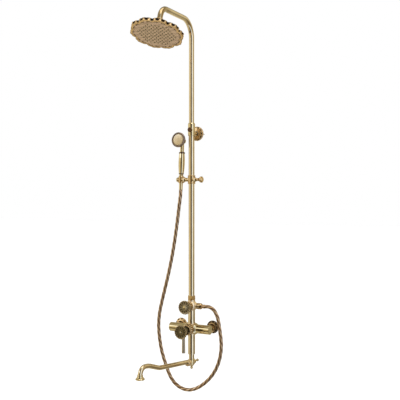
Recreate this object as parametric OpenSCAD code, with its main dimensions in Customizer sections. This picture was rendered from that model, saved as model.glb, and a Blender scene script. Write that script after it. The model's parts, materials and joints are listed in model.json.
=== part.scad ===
// Exposed shower column for a wall: bar mixer, diverter, swinging bath spout, telescopic
// riser with a gooseneck arm and a tilting rain head, and a hand shower on a sliding holder.
//
// Origin: on the wall plane, midway between the two wall inlets. +Y points into the wall,
// +X to the right as one faces it, +Z up. Inside the modules the drawing frame is the
// mixer's: its origin is where the riser axis meets the bar's axis, and fixed() moves it.

/* [Wall] */
// Distance between the two wall inlets
inlet_spacing = 150; // [146:1:150]
// Distance from the wall to the riser axis
wall_gap = 52; // [52:1:60]
// How far the eccentric unions drop the bar below the inlets
union_drop = 4; // [0:0.5:4]
// Radius of the G1/2 thread that goes into the wall
inlet_thread_r = 10.475; // [10.475:0.005:10.48]

/* [Bar mixer] */
// Distance from the riser axis to the bar's left end
bar_left = 101.5; // [99:0.5:120]
// Distance from the riser axis to the bar's right end
bar_right = 88; // [88:0.5:110]
// Radius of the bar
bar_r = 19; // [18:0.5:21]
// Radius of the control rosette
rosette_r = 29; // [24:0.5:30]
// Distance from the bar's axis to the front of the control
knob_reach = 100; // [98:1:106]
// How far the lever's end hangs below the bar's axis
lever_drop = 90; // [70:1:95]

/* [Diverter] */
// Height of the diverter above the bar's axis
diverter_h = 96; // [95:1:130]
// Radius of the diverter's ball
diverter_r = 23.5; // [22:0.5:24]

/* [Spout] */
// Depth of the spout's axis below the bar's axis
spout_drop = 141; // [135:1:160]
// How far the spout stands swung to the left of straight ahead, in degrees
spout_swing = 9; // [0:1:20]
// Length of the spout's long straight stretch
spout_straight = 183; // [120:1:200]
// Radius of the spout's tube
spout_r = 9.5; // [9:0.25:10]

/* [Riser] */
// Radius of the fixed lower tube
riser_r = 12.5; // [12.5:0.1:12.6]
// Radius of the telescopic upper tube
upper_r = 11; // [10.8:0.1:11]
// Height of the wall bracket's lower end above the bar's axis
bracket_h = 810; // [760:5:860]
// Height of the gooseneck's crown above the bar's axis
crown_h = 1291; // [1240:1:1340]
// Reach of the straight stretch of the gooseneck
arm_straight = 143; // [120:1:180]

/* [Rain head] */
// Radius of the head over its lobes
head_r = 106; // [102:0.5:110]
// Number of large lobes round the head
lobes = 10; // [8:1:12]
// Number of rings of nozzles round the middle one
nozzle_rings = 5; // [3:1:5]

/* [Hand shower] */
// Height of the sliding holder above the bar's axis
holder_h = 626; // [400:1:740]
// Distance from the riser axis to the hand shower's axis
holder_reach = 50; // [50:1:54]
// How far the hand shower leans back, in degrees
handset_lean = 3.8; // [0:0.1:6]
// Radius of the hand shower's head
handset_r = 31.5; // [28:0.5:33]

/* [Hidden] */
$fn = 64;

// Small sizes used all over
wall_t = 1.3;             // wall of a drawn tube
seat_gap = 0.05;          // between two pieces that are screwed or pressed together
free_gap = 0.3;           // between two pieces that move against each other
cut = 1;                  // how far a cutting solid runs past what it cuts
lap = 0.3;                // how far a straight tube runs into a bend
swell = 0.05;             // how much thicker a bend's wall is on each side

// Bar mixer
left_cap = 9.5;
right_cap = 2;
plug_len = 8;             // how deep a cap's plug reaches into the bar
bar_bore_r = 16;
nipple_r = 10.8;
flange_r = 10.2;          // of the unions, held by their nuts
nipple_end = 28;
shoulder_r = 12.4;        // of the unions, against the wall inlets
shoulder_at = 0.65 * union_drop;
union_seat = nipple_end + 2;
cartridge_r = 17.5;
cartridge_back = 8;
boss_front = 26;
cartridge_front = 30;
collar_front = 50;
lever_pivot = 48;
boss_r = 15;
rosette_back = 6;         // thickness of a control rosette
lever_y = knob_reach - 29;

// Link tubes above and below the bar
link_r = 15;
link_start = 24;
spigot_at = 18;           // how far from the bar's axis the tubes' spigots reach in
spigot_r = 11.9;
spigot_len = 5;           // of the upper tube's spigot in the diverter
link_bore_r = 9;
link_end = spout_drop - 34;
neck_end = spout_drop - 14;
pivot_r = 8;

// Diverter
div_foot = 18;
div_boss_front = 23;
div_cartridge_r = 12;
div_collar_front = 50;
div_knob_front = 66;
div_neck_end = 33;        // all heights from here to riser_foot are above the diverter's axis
nut_low = 25;
riser_foot = 35;
nut_high = 42;
thread_r = 13;

// Side outlet for the hose
outlet_end = 38;
hose_nut_x = 29;
outlet_boss_r = 12.4;
hose_nut_end = 48;
ferrule_end = 63;
hose_r = 7.5;

// Spout: each step is [length of a straight, radius of a bend, angle of the bend]
spout_root = 20;
spout_rise = 4;
spout_steps = [
    [spout_straight, 0, 0], [0, 80, 14], [49, 0, 0], [0, 100, -18], [2, 0, 0], [0, 28, -90],
    [2, 0, 0]];
spout_wall = 1.2;
elbow_back = 18;
collar_at = 14.3;
back_ball = 42;
ball_stem_r = 3.2;
finial_r = 6;
finial_steps = 14;        // bands round each of the spout's balls
aerator_r = 10.5;

// Wall bracket
bracket_len = 54;
riser_top = bracket_h + 40;
rod_h = bracket_h + 13;
screw_h = bracket_h + 25;
rod_r = 8;
base_r = 22;
bracket_screw_x = 16;
wall_screw_len = 40;

// Gooseneck: the upper tube starts inside the lower one
upper_foot = 640;
crown_bend = 70;
front_bend = 50;
front_angle = 71;
arm_steps = [
    [crown_h - crown_bend - upper_foot, 0, 0], [0, crown_bend, -90],
    [arm_straight, 0, 0], [0, front_bend, -front_angle], [26, 0, 0]];

// Rain head, measured along its axis from the end of the front bend
ball_at = 48;
ball_r = 11.5;
seat_r = 11.8;
seal_r = 13.4;
cavity_r = 13.7;
head_seam = 55;
head_back = 73;
head_front = 86;
lobe_depth = 9;
scallop_depth = 2.2;
scallops_per_lobe = 3;
outline_steps = 8;        // points along each scallop
nozzle_pitch = 14.5;
nozzle_r = 1.6;

// Hand shower, measured along its axis from the middle of the holder
cap_at = 61.9;            // the holder's end cap, from the riser axis
hand_nut_low = -42;
cone_high = 14;
handle_foot = 17;
barrel_low = 27;
barrel_high = 111;
neck_low = 118;
hand_head_at = 166;
hand_head_y = -39;
hand_neck_top = 156;
lower_cone_r = 7.7;
mid_cone_r = 8.1;
upper_cone_r = 9.2;

// The hose: from the diverter's outlet, down round a hanging loop and up to the hand shower.
// Points are in the mixer's frame. It changes from one stretch to the next at the two splits.
hose_route = [
    [63, 0, 96], [80, 0, 96], [97, 0, 90], [110, 0, 77], [119, 0, 60], [125, 0, 41],
    [131, 0, 6], [136, 0, -28], [138, 0, -54], [137, 0, -80], [133, 0, -105],
    [126, 0, -130], [116, 0, -154], [103, 0, -177], [87, 0, -198], [66, 0, -219],
    [39, 0, -240], [12, 0, -254], [-17, 0, -261], [-46, 0, -258], [-72, 0, -246],
    [-92, 0, -228], [-108, 0, -204], [-122, 0, -172], [-135, 0, -139], [-146, 0, -105],
    [-154, 0, -66], [-159, 0, -26], [-160, 0, 12], [-155, 0, 57], [-145, 0, 100],
    [-131, 0, 152], [-112, 0, 223], [-94, 0, 300], [-79, -1, 378], [-66, -3, 455],
    [-57, -5, 514], [-51, -5, 556], [-50, -3, 584]];
hose_bottom = 18;         // index of the route's lowest point
hose_high = 34;           // index of the point where the last stretch starts
hose_sides = 12;

// ---------- frames ----------

// Moves a drawing from the mixer's frame to the wall's
module fixed() { translate([0, -wall_gap, -union_drop]) children(); }
// Turns a drawing made along +Z to point to the front, to the wall, to the right, to the left
module forward() { rotate([90, 0, 0]) children(); }
module backward() { rotate([-90, 0, 0]) children(); }
module rightward() { rotate([0, 90, 0]) children(); }
module leftward() { rotate([0, -90, 0]) children(); }
// The spout's frame: +X runs out along the spout from its vertical pivot
module spout_frame() {
    fixed() translate([0, 0, -spout_drop]) rotate([0, 0, -90 - spout_swing]) children();
}
// The gooseneck's frame: +X forward, +Z up, on the riser axis
module arm_frame() { fixed() rotate([0, 0, -90]) children(); }
// The rain head's frame: +Z down along its axis, from the end of the front bend
module head_frame() {
    arm_frame()
        translate([
            crown_bend + arm_straight + front_bend * sin(front_angle), 0,
            crown_h - front_bend * (1 - cos(front_angle))])
        rotate([0, 90 + front_angle, 0]) children();
}
// The hand shower's frame: +Z up along its leaning axis, from the middle of the holder
module hand_frame() {
    fixed() translate([-holder_reach, 0, holder_h]) rotate([-handset_lean, 0, 0]) children();
}
module both_sides() { for (side = [-1, 1]) scale_x(side) children(); }
module scale_x(side) { if (side < 0) mirror([1, 0, 0]) children(); else children(); }

// ---------- shapes ----------

// A turned solid from its outline of [radius, height] points
module turned(outline) { rotate_extrude() polygon(outline); }
// A plain ring or sleeve between two heights
module ring(outer, inner, low, high) {
    translate([0, 0, low]) difference() {
        cylinder(r = outer, h = high - low);
        translate([0, 0, -cut]) cylinder(r = inner, h = high - low + 2 * cut);
    }
}
// A solid round bar between two heights
module rod(r, low, high) { translate([0, 0, low]) cylinder(r = r, h = high - low); }
// A hexagonal bar between two heights
module hex(r, low, high) { translate([0, 0, low]) cylinder(r = r, h = high - low, $fn = 6); }

// The section of a round tube
module tube_section(r, inner) {
    difference() {
        circle(r = r);
        circle(r = inner);
    }
}
// A bent tube along a chain of steps in the XZ plane, starting along +X. Straights and bends
// take turns. A bend's wall is a hair thicker, and each straight runs a little way into it.
module bent_tube(steps, r, inner, i = 0) {
    if (i < len(steps)) {
        bend = steps[i][1];
        turn = abs(steps[i][2]);
        up = steps[i][2] > 0 ? 1 : -1;
        if (turn == 0) {
            before = i > 0 ? lap : 0;
            after = i < len(steps) - 1 ? lap : 0;
            translate([-before, 0, 0]) rightward()
                linear_extrude(before + steps[i][0] + after) tube_section(r, inner);
            translate([steps[i][0], 0, 0]) bent_tube(steps, r, inner, i + 1);
        } else {
            translate([0, 0, up * bend]) rotate([90, 0, 0])
                rotate([0, 0, up > 0 ? -90 : 90 - turn])
                rotate_extrude(angle = turn) translate([bend, 0])
                tube_section(r + swell, inner - swell);
            translate([bend * sin(turn), 0, up * bend * (1 - cos(turn))])
                rotate([0, -up * turn, 0]) bent_tube(steps, r, inner, i + 1);
        }
    }
}

// How far a chain of steps goes along X and Z when it starts at an angle above X
function along(steps, angle, i = 0) =
    i == len(steps) ? [0, 0] :
    let (
        bend = steps[i][1], turn = steps[i][2], side = turn > 0 ? 1 : -1,
        go = turn == 0
            ? steps[i][0] * [cos(angle), sin(angle)]
            : side * bend * [sin(angle + turn) - sin(angle), cos(angle) - cos(angle + turn)])
    go + along(steps, angle + turn, i + 1);

// A domed wall rose with a hollow back, drawn from the wall at 0 up to its hole's lip
module wall_rose(r, hole_r, tall) {
    turned([
        [r, 0], [r, 6], [r - 3.5, tall - 3], [r - 10, tall - 0.8], [hole_r, tall],
        [hole_r, tall - 2], [r - 10.6, tall - 2.8], [r - 5, tall - 5], [r - 2.2, 5.5],
        [r - 2.2, 0]]);
}

// A control rosette: a disc with a rim and a shallow dish in front
module rosette(r, back, front) {
    turned([
        [0, back], [r - 3, back], [r, back + 2.5], [r, front - 2], [r - 2, front],
        [r - 6, front], [r - 7.5, front - 1.5], [0, front - 1.5]]);
}

// ---------- wall connection ----------

module s_unions() {
    color("darkgoldenrod") fixed() both_sides()
        translate([inlet_spacing / 2, 0, 0]) difference() {
            union() {
                backward() rod(flange_r, union_seat, union_seat + 3);
                backward() rod(9.5, union_seat, 41);
                translate([0, 0, shoulder_at]) backward() rod(shoulder_r, 39, 44);
                translate([0, 0, union_drop]) backward() rod(inlet_thread_r, 43, wall_gap + 17);
            }
            backward() rod(6.5, union_seat - cut, 41);
            translate([0, 0, union_drop]) backward() rod(6.5, 41, wall_gap + 17 + cut);
        }
}

module union_nuts() {
    color("peru") fixed() both_sides() translate([inlet_spacing / 2, 0, 0]) backward()
        difference() {
            hex(17.3, 22, 36);
            rod(nipple_r + seat_gap, 22 - cut, union_seat + 3);
            rod(9.5 + seat_gap, union_seat, 36 + cut);
        }
}

module wall_rosettes() {
    color("goldenrod") fixed() both_sides()
        translate([inlet_spacing / 2, wall_gap, union_drop]) forward()
        wall_rose(27.5, 14.4, 12.5);
}

// Every flat seal: two at the unions, one under the riser, one at each end of the hose
module washers() {
    color("dimgray") fixed() {
        both_sides() translate([inlet_spacing / 2, 0, 0])
            backward() ring(flange_r, 8, nipple_end, union_seat);
        translate([0, 0, diverter_h]) {
            ring(12.4, 10, div_neck_end, riser_foot);
            rightward() ring(10, 6.5, outlet_end, outlet_end + 2);
        }
    }
}

// ---------- bar mixer ----------

module mixer_body() {
    color("goldenrod") fixed() difference() {
        union() {
            rightward() turned([
                [0, left_cap - bar_left], [bar_r, left_cap - bar_left], [bar_r, -28],
                [21, -25], [24, -20], [24, 20], [21, 25], [bar_r, 28],
                [bar_r, bar_right - right_cap], [0, bar_right - right_cap]]);
            forward() rod(22, 0, boss_front);
            rod(17, -link_start, link_start);
            both_sides() translate([inlet_spacing / 2, 0, 0])
                backward() rod(nipple_r, 10, nipple_end);
        }
        leftward() rod(bar_bore_r, 26, bar_left - left_cap + cut);
        rightward() rod(bar_bore_r, 26, bar_right - right_cap + cut);
        both_sides() {
            translate([0, -12, 0]) rightward() rod(3, 15, 27);
            translate([inlet_spacing / 2, 0, 0]) backward() rod(8, 10, nipple_end + cut);
        }
        forward() rod(cartridge_r + seat_gap, cartridge_back, boss_front + cut);
        rod(spigot_r + seat_gap, spigot_at - 0.4, link_start + cut);
        rod(spigot_r + seat_gap, -link_start - cut, 0.4 - spigot_at);
        rod(4, -20, 20);
        forward() rod(4, 0, cartridge_back + cut);
    }
}

// A cap on one end of the bar, with its plug inside the bar's bore
module end_cap(reach, cap) {
    seat = reach - cap;
    turned([
        [0, seat - plug_len], [bar_bore_r - seat_gap, seat - plug_len],
        [bar_bore_r - seat_gap, seat], [bar_r, seat], [bar_r, seat + 0.55 * cap],
        [bar_r - 0.13 * cap, seat + 0.85 * cap], [bar_r - 0.42 * cap, reach], [0, reach]]);
}

module bar_end_caps() {
    color("goldenrod") fixed() {
        leftward() end_cap(bar_left, left_cap);
        rightward() end_cap(bar_right, right_cap);
    }
}

module mixer_cartridge() {
    color("whitesmoke") fixed() forward() ring(cartridge_r, 8, cartridge_back, cartridge_front);
}

// Fluted collar that screws on the front boss and holds the cartridge in
module mixer_collar() {
    color("goldenrod") fixed() forward() difference() {
        turned([
            [0, boss_front], [22, boss_front], [24, boss_front + 4], [24, 36], [21, 41],
            [21, 46], [19.5, collar_front], [0, collar_front]]);
        rod(cartridge_r + seat_gap, boss_front - cut, cartridge_front);
        rod(12.1, boss_front, 40);
        rod(17.5, 33, collar_front + cut);
    }
}

// Spindle of the cartridge, which turns for warmth and carries the lever's ball
module mixer_hub() {
    color("lightgray") fixed() forward() {
        rod(11.8, cartridge_front + free_gap, 36);
        rod(4, 35, lever_pivot);
        translate([0, 0, lever_pivot]) sphere(r = 6);
    }
}

module mixer_knob() {
    color("olive") fixed() forward() difference() {
        union() {
            rosette(rosette_r, knob_reach - rosette_back - 2, knob_reach - 2);
            rod(boss_r, 58, knob_reach - rosette_back);
            translate([0, 0, lever_pivot]) intersection() {
                sphere(r = 13);
                rod(13, -3, 14);
            }
        }
        translate([0, 0, lever_pivot]) {
            sphere(r = 6 + free_gap);
            translate([0, 0, -13]) cylinder(r1 = 16, r2 = 4.5, h = 13);
        }
        translate([0, -10, lever_y]) rotate([90, 0, 0]) cylinder(r = 5.05, h = 10);
    }
}

module mixer_knob_cap() {
    color("khaki") fixed() forward() turned([
        [0, knob_reach - 3.5], [6.5, knob_reach - 3.5], [6.5, knob_reach - 2],
        [5, knob_reach - 0.6], [2.5, knob_reach], [0, knob_reach]]);
}

module mixer_lever() {
    color("goldenrod") fixed() translate([0, -lever_y, 0]) turned([
        [0, -10.5], [5, -10.5], [5, -15.5], [6, -15.5], [6.2, -30], [7, -lever_drop + 12],
        [7.1, -lever_drop + 1], [6.1, -lever_drop], [0, -lever_drop]]);
}

// ---------- link tubes, spout ----------

module riser_stub() {
    low = diverter_h - div_foot;
    color("goldenrod") fixed() difference() {
        union() {
            rod(link_r, link_start, low);
            rod(spigot_r, spigot_at, low + spigot_len);
        }
        rod(link_bore_r, spigot_at - cut, low + spigot_len + cut);
    }
}

// Lower link tube with its neck and the pivot that the spout turns on
module spout_stub() {
    color("goldenrod") fixed() difference() {
        union() {
            rod(spigot_r, -link_start, -spigot_at);
            rod(link_r, -link_end, -link_start);
            rod(11.5, -neck_end, -link_end);
            rod(pivot_r, -neck_end - 22, -neck_end);
        }
        rod(5, -neck_end - 22 - cut, -spigot_at + cut);
        for (z = [6, 16]) translate([0, 0, -neck_end]) ring(pivot_r + cut, 6.5, -z - 1, -z + 1);
    }
}

module spout_orings() {
    color("black") fixed() for (z = [6, 16]) translate([0, 0, -neck_end - z])
        rotate_extrude() translate([7.25, 0]) circle(r = 0.7);
}

module spout_elbow() {
    hub_top = spout_drop - neck_end - free_gap;
    color("goldenrod") spout_frame() difference() {
        union() {
            turned([
                [0, hub_top], [11.5, hub_top], [13.5, hub_top - 3], [13.5, -8], [9, -14],
                [5, -17.5], [0, -17.5]]);
            sphere(r = 14);
            rightward() rod(10.75, -elbow_back, collar_at);
            rightward() rod(8.8, collar_at - 1, spout_root - 0.8);
        }
        rod(pivot_r + 0.1, -9, hub_top + cut);
        rightward() rod(6.5, 4, spout_root + cut);
    }
}

module spout_collar() {
    color("peru") spout_frame() difference() {
        rightward() turned([
            [0, collar_at], [12.5, collar_at], [13.5, collar_at + 1.2], [13.5, 19], [12, 21],
            [12, 25], [12.8, 27], [12.8, 31], [11.2, 34], [0, 34]]);
        rightward() rod(8.8 + seat_gap, collar_at - cut, spout_root);
        translate([spout_root, 0, spout_rise]) rotate([0, -spout_rise, 0])
            translate([-cut, 0, 0]) rightward() rod(spout_r + seat_gap, 0, 20);
    }
}

module spout_tube() {
    color("goldenrod") spout_frame()
        translate([spout_root, 0, spout_rise]) rotate([0, -spout_rise, 0])
        bent_tube(spout_steps, spout_r, spout_r - spout_wall);
}

// Where the spout's tube ends, pointing straight down
module spout_mouth_frame() {
    end = along(spout_steps, spout_rise);
    spout_frame() translate([spout_root + end[0], 0, spout_rise + end[1]]) children();
}

module spout_bell() {
    color("goldenrod") spout_mouth_frame() turned([
        [spout_r + seat_gap, 3], [11.3, 3], [11.8, 1.5], [11.3, -1], [12.5, -5], [15.5, -9],
        [18.2, -11], [18.5, -12.5], [17.5, -14.5], [15, -16], [13.2, -16], [12.4, -13],
        [aerator_r, -10], [aerator_r, -5.5], [8.3, -3.5], [8.3, -0.3],
        [spout_r + seat_gap, -0.3]]);
}

module spout_aerator() {
    color("silver") spout_mouth_frame() difference() {
        rod(aerator_r - seat_gap, -9.8, -5.7);
        for (a = [0 : 60 : 300]) rotate([0, 0, a]) translate([7, 0, 0]) rod(2, -11, -4);
        rod(3, -11, -4);
    }
}

// A ball under the spout's pivot and one behind it
// A small ball on a stem, along Z, with the ball's centre at a height
module finial(stem_r, start, centre) {
    first = asin(stem_r / finial_r);
    turned(concat(
        [[0, start], [stem_r, start]],
        [for (k = [0:1:finial_steps - 1])
            let (a = first + (180 - first) * k / finial_steps)
            [finial_r * sin(a), centre - finial_r * cos(a)]],
        [[0, centre + finial_r]]));
}

module spout_finials() {
    color("goldenrod") spout_frame() {
        rotate([180, 0, 0]) finial(3, 17.5, 23.5);
        leftward() finial(ball_stem_r, elbow_back, back_ball);
    }
}

// ---------- diverter ----------

module diverter_body() {
    color("goldenrod") fixed() translate([0, 0, diverter_h]) difference() {
        union() {
            intersection() {
                sphere(r = diverter_r);
                rod(diverter_r + 1, -div_foot, 21.5);
            }
            rod(15.5, 0, 24);
            rod(thread_r, 20, div_neck_end);
            forward() rod(17, 0, div_boss_front);
            rightward() rod(outlet_boss_r, 0, hose_nut_x - free_gap);
        }
        rod(spigot_r + seat_gap, -div_foot - cut, -div_foot + spigot_len + 0.5);
        rod(link_bore_r, -div_foot, div_neck_end + cut);
        rightward() rod(6.5, 0, 28);
        rightward() rod(inlet_thread_r + seat_gap, 16, hose_nut_x + cut);
        forward() rod(div_cartridge_r + seat_gap, 6, 30);
    }
}

module diverter_cartridge() {
    color("whitesmoke") fixed() translate([0, 0, diverter_h]) forward() difference() {
        rod(div_cartridge_r, 6, 26);
        rod(4.1, 18, 26 + cut);
    }
}

module diverter_collar() {
    color("goldenrod") fixed() translate([0, 0, diverter_h]) forward() difference() {
        turned([
            [0, div_boss_front], [18.5, div_boss_front], [21, 26], [21, 34], [18, 38],
            [20, 42], [20, 47], [18, div_collar_front], [0, div_collar_front]]);
        rod(div_cartridge_r + seat_gap, div_boss_front - cut, 26);
        rod(4.6, 20, div_collar_front + cut);
    }
}

module diverter_spindle() {
    color("lightgray") fixed() translate([0, 0, diverter_h]) forward() rod(4, 18.3, 58);
}

module diverter_knob() {
    color("olive") fixed() translate([0, 0, diverter_h]) forward() difference() {
        union() {
            rosette(rosette_r, div_knob_front - rosette_back - 2, div_knob_front - 2);
            rod(10, div_collar_front + 1, div_knob_front - rosette_back - 1);
            ring(14, 11.5, div_knob_front - 4, div_knob_front - 1.5);
        }
        rod(4 + seat_gap, div_collar_front, 58);
    }
}

module diverter_button() {
    color("khaki") fixed() translate([0, 0, diverter_h]) forward() turned([
        [0, div_knob_front - 3.5], [9, div_knob_front - 3.5], [9, div_knob_front - 2],
        [7, div_knob_front - 0.5], [3, div_knob_front], [0, div_knob_front]]);
}

module outlet_nipple() {
    color("peru") fixed() translate([0, 0, diverter_h]) rightward()
        ring(inlet_thread_r, 6.5, 16, outlet_end);
}

// ---------- hose ----------

// Union nut of the hose on the diverter's outlet
module hose_nut() {
    color("peru") fixed() translate([0, 0, diverter_h]) rightward() difference() {
        turned([
            [0, hose_nut_x], [11.5, hose_nut_x], [11.5, 31], [13, 32], [13, 36], [12, 37.5],
            [12, 39], [13, 40.5], [13, 44], [11, hose_nut_end], [0, hose_nut_end]]);
        rod(inlet_thread_r + seat_gap, hose_nut_x - cut, outlet_end + 4.1);
        rod(7.3, outlet_end, hose_nut_end + cut);
    }
}

module hose_ferrule() {
    color("goldenrod") fixed() translate([0, 0, diverter_h]) rightward() difference() {
        turned([
            [0, outlet_end + 2], [10.3, outlet_end + 2], [10.3, outlet_end + 4],
            [7.2, outlet_end + 4], [7.2, ferrule_end - 8], [8.2, ferrule_end - 7],
            [8.2, ferrule_end], [0, ferrule_end]]);
        rod(5, outlet_end, ferrule_end + cut);
    }
}

// A point of the smooth line through the route's points, at part t of the stretch after i
function between(i, t) =
    let (
        last = len(hose_route) - 1,
        a = hose_route[max(i - 1, 0)], b = hose_route[i],
        c = hose_route[min(i + 1, last)], d = hose_route[min(i + 2, last)])
    0.5 * (2 * b + (c - a) * t + (2 * a - 5 * b + 4 * c - d) * t * t
        + (3 * b - a - 3 * c + d) * t * t * t);
function unit(v) = v / norm(v);
// Direction of the line at a point: the mean of the chords on both sides
function heading(i, t) =
    t == 0 && i > 0 && i < len(hose_route) - 1
        ? unit(hose_route[i + 1] - hose_route[i - 1])
        : i == len(hose_route) - 1 ? unit(hose_route[i] - hose_route[i - 1])
        : i == 0 && t == 0 ? unit(hose_route[1] - hose_route[0])
        : unit(between(i, min(t + 0.1, 1)) - between(i, t - 0.1));
// One ring of the tube, across that direction
function hose_ring(i, t) =
    let (
        along = heading(i, t),
        side = unit(cross(along, [0, 1, 0])),
        over = cross(side, along))
    [for (k = [0 : hose_sides - 1])
        between(i, t) + hose_r * (cos(k * 360 / hose_sides) * side
            + sin(k * 360 / hose_sides) * over)];

// The stretch of hose from one route point to another, with a ring at each and one halfway
module hose_stretch(first, last) {
    rings = [for (i = [first : last], t = i < last ? [0, 0.5] : [0]) hose_ring(i, t)];
    n = hose_sides;
    count = len(rings);
    polyhedron(
        points = [for (r = rings) each r],
        faces = concat(
            [[for (k = [0 : n - 1]) k]],
            [[for (k = [n - 1 : -1 : 0]) (count - 1) * n + k]],
            [for (j = [0 : count - 2], k = [0 : n - 1])
                [j * n + k, (j + 1) * n + k, (j + 1) * n + (k + 1) % n, j * n + (k + 1) % n]]),
        convexity = 8);
}

module hose_loop() { color("saddlebrown") fixed() hose_stretch(0, hose_bottom); }
module hose_rise() { color("saddlebrown") fixed() hose_stretch(hose_bottom, hose_high); }
module hose_top() {
    color("saddlebrown") fixed() hose_stretch(hose_high, len(hose_route) - 1);
}

// ---------- riser and wall bracket ----------

module riser_nut() {
    color("peru") fixed() translate([0, 0, diverter_h]) difference() {
        hex(17.2, nut_low, nut_high);
        rod(thread_r + seat_gap, nut_low - cut, riser_foot + 3);
        rod(riser_r + seat_gap, riser_foot, nut_high + cut);
    }
}

module riser_tube() {
    color("goldenrod") fixed() difference() {
        union() {
            rod(riser_r, diverter_h + riser_foot, riser_top);
            rod(thread_r, diverter_h + riser_foot, diverter_h + riser_foot + 3);
        }
        rod(upper_r + 0.2, diverter_h + riser_foot - cut, riser_top + cut);
        translate([0, 0, screw_h]) forward() rod(3, 0, 20);
    }
}

module bracket_sleeve() {
    color("goldenrod") fixed() difference() {
        union() {
            translate([0, 0, bracket_h]) turned([
                [0, 0], [14, 0], [15, 1.5], [15, bracket_len - 4], [13, bracket_len],
                [0, bracket_len]]);
            translate([0, 0, screw_h]) forward() rod(10.2, 0, 15);
            translate([0, 0, rod_h]) backward() rod(9.5, 0, 18);
        }
        rod(riser_r + seat_gap, bracket_h - cut, riser_top);
        rod(upper_r + 0.15, riser_top - cut, bracket_h + bracket_len + cut);
        translate([0, 0, screw_h]) forward() rod(3, 0, 18);
        translate([0, 0, rod_h]) backward() rod(4 + seat_gap, 0, 18 + cut);
    }
}

module bracket_rod() {
    color("goldenrod") fixed() translate([0, 0, rod_h]) backward() {
        rod(4, riser_r + 0.4, 19);
        rod(rod_r, 18, wall_gap - 2);
    }
}

// Plate that is screwed to the wall, with a socket for the rod
module bracket_base() {
    color("darkgoldenrod") fixed() translate([0, 0, rod_h]) backward() difference() {
        union() {
            rod(base_r, wall_gap - 5, wall_gap);
            rod(10.8, wall_gap - 14, wall_gap);
        }
        rod(rod_r + seat_gap, wall_gap - 15, wall_gap - 2);
        both_sides() translate([bracket_screw_x, 0, 0]) rod(2.1, wall_gap - 6, wall_gap + cut);
    }
}

module bracket_screws() {
    color("silver") fixed() translate([0, 0, rod_h]) backward() both_sides()
        translate([bracket_screw_x, 0, 0]) {
            rod(4, wall_gap - 7, wall_gap - 5);
            rod(1.7, wall_gap - 6, wall_gap + 1);
            rod(2, wall_gap, wall_gap - 5 + wall_screw_len);
        }
}

module bracket_rosette() {
    color("goldenrod") fixed() translate([0, wall_gap, rod_h]) forward()
        wall_rose(31, 11, 13);
}

// Thumb screw that clamps the telescopic tube
module telescope_screw() {
    color("saddlebrown") fixed() translate([0, 0, screw_h]) forward() {
        rod(2.9, upper_r + 0.3, 16);
        turned([
            [0, 15.3], [9.4, 15.3], [10, 15.9], [10, 17.7], [9.2, 18.5], [0, 18.5]]);
    }
}

// Seal ring at the foot of the telescopic tube
module telescope_seal() {
    color("dimgray") fixed() ring(upper_r + 0.1, upper_r - wall_t + 0.2, upper_foot - 6.2,
        upper_foot - 0.2);
}

module arm_tube() {
    color("goldenrod") arm_frame() translate([0, 0, upper_foot]) rotate([0, -90, 0])
        bent_tube(arm_steps, upper_r, upper_r - wall_t);
}

// ---------- rain head ----------

// The arm's threaded end piece with the ball that the head tilts on
module swivel_ball() {
    color("peru") head_frame() difference() {
        union() {
            rod(14, 16, 33);
            hex(15.5, 20, 29);
            rod(6, 32, ball_at);
            translate([0, 0, ball_at]) sphere(r = ball_r);
        }
        rod(upper_r + seat_gap, 15, 26.1);
        rod(3.5, 25, ball_at + ball_r + cut);
    }
}

// Sealing ring round the lower half of the ball
module ball_seal() {
    color("black") head_frame() difference() {
        intersection() {
            translate([0, 0, ball_at]) sphere(r = seal_r);
            rod(seal_r + cut, ball_at + 2, ball_at + 9);
        }
        translate([0, 0, ball_at]) sphere(r = seat_r);
    }
}

module head_nut() {
    color("peru") head_frame() difference() {
        turned([
            [0, ball_at - 6], [14.5, ball_at - 6], [16.5, ball_at - 4], [16.5, head_seam],
            [0, head_seam]]);
        translate([0, 0, ball_at]) sphere(r = seat_r);
        intersection() {
            translate([0, 0, ball_at]) sphere(r = cavity_r);
            rod(20, ball_at - 2, head_seam + cut);
        }
    }
}

// Edge of the head at a given angle: large lobes, each with small scallops
function lobe_r(angle, inset) =
    head_r - inset - lobe_depth * (1 - pow(abs(cos(angle * lobes / 2)), 0.8))
    - scallop_depth * (1 - abs(cos(angle * lobes * scallops_per_lobe / 2)));
module lobed(inset) {
    turns = lobes * scallops_per_lobe * outline_steps;
    polygon([for (k = [0 : turns - 1])
        let (angle = k * 360 / turns) lobe_r(angle, inset) * [cos(angle), sin(angle)]]);
}

// Shallow dish with a neck for the ball and the lobed side wall
module head_shell() {
    color("goldenrod") head_frame() difference() {
        union() {
            turned([
                [0, head_seam], [16.5, head_seam], [16.5, 62], [22, 66], [45, 70],
                [88, head_back], [88, head_back + 1.6], [0, head_back + 1.6]]);
            translate([0, 0, head_back]) linear_extrude(head_front - head_back) lobed(0);
        }
        translate([0, 0, ball_at]) sphere(r = cavity_r);
        rod(7, ball_at, 75);
        translate([0, 0, head_back + 1.6]) linear_extrude(20) lobed(2.2);
    }
}

// Every nozzle's place, in hexagonal rings round the middle one
function nozzle_places() = concat([[0, 0]], [
    for (ring_no = [1 : nozzle_rings], side = [0 : 5], step = [0 : ring_no - 1])
        nozzle_pitch * (ring_no * [cos(60 * side), sin(60 * side)]
            + step * [cos(60 * side + 120), sin(60 * side + 120)])]);

module head_face() {
    color("tan") head_frame() difference() {
        translate([0, 0, head_front - 2]) linear_extrude(2) lobed(2.3);
        for (p = nozzle_places()) translate([p[0], p[1], 0])
            rod(nozzle_r + 0.1, head_front - 3, head_front + cut);
    }
}

// Rubber mat behind the face, with its nozzles coming through
module head_nozzles() {
    color("dimgray") head_frame() {
        rod(80, head_front - 4, head_front - 2);
        for (p = nozzle_places()) translate([p[0], p[1], 0])
            rod(nozzle_r, head_front - 3, head_front + 1);
    }
}

// ---------- sliding holder ----------

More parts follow.
